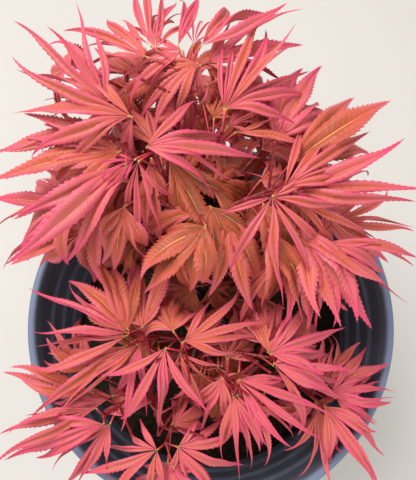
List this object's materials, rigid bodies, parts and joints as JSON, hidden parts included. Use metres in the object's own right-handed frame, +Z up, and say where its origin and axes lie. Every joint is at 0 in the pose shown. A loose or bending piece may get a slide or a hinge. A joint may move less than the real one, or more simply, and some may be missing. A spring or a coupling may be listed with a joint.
{
  "type": "potted japanese maple",
  "caption": "Young Japanese maple with narrow-lobed coral red leaves in a round black nursery pot of potting soil; it stands on the pot's flat underside.",
  "frame": {"origin": "middle of the pot's flat underside", "axes": "+Z up along the pot's middle line; +X to the right of the plant; -Y towards its front, the side whose foliage hangs lower"},
  "size_m": [0.26, 0.3148, 0.3684],
  "materials": {
    "pot": "satin black moulded plastic with a blue-grey sheen",
    "soil": "rough dark potting soil",
    "bark": "smooth brown bark with pale pores",
    "young_bark": "smooth crimson young bark",
    "leaf": "soft satin leaf, coral red"
  },
  "bodies": {
    "root": {"pot": "pot", "soil": "soil", "trunk": "bark", "leader_back": "bark", "leader_front": "bark", "bough_crown_left": "young_bark", "bough_crown_back": "young_bark", "bough_crown_right": "young_bark", "bough_crown_middle": "young_bark", "bough_back_left": "young_bark", "bough_back_right": "young_bark", "bough_right_side": "young_bark", "bough_left_side": "young_bark", "bough_crown_centre": "young_bark", "bough_crown_front": "young_bark", "bough_front_left": "young_bark", "bough_front_middle": "young_bark", "bough_front_right": "young_bark", "bough_front_low": "young_bark", "bough_low_left": "young_bark", "bough_low_front": "young_bark", "bough_low_right": "young_bark", "bough_back_skirt": "young_bark", "bough_right_skirt": "young_bark", "bough_left_skirt": "young_bark", "bough_inner": "young_bark", "leaves_crown_left": "leaf", "leaves_crown_back": "leaf", "leaves_crown_right": "leaf", "leaves_crown_middle": "leaf", "leaves_back_left": "leaf", "leaves_back_right": "leaf", "leaves_right_side": "leaf", "leaves_left_side": "leaf", "leaves_crown_centre": "leaf", "leaves_crown_front": "leaf", "leaves_front_left": "leaf", "leaves_front_middle": "leaf", "leaves_front_right": "leaf", "leaves_front_low": "leaf", "leaves_low_left": "leaf", "leaves_low_front": "leaf", "leaves_low_right": "leaf", "leaves_back_skirt": "leaf", "leaves_right_skirt": "leaf", "leaves_left_skirt": "leaf", "leaves_inner": "leaf"}
  },
  "joints": []
}
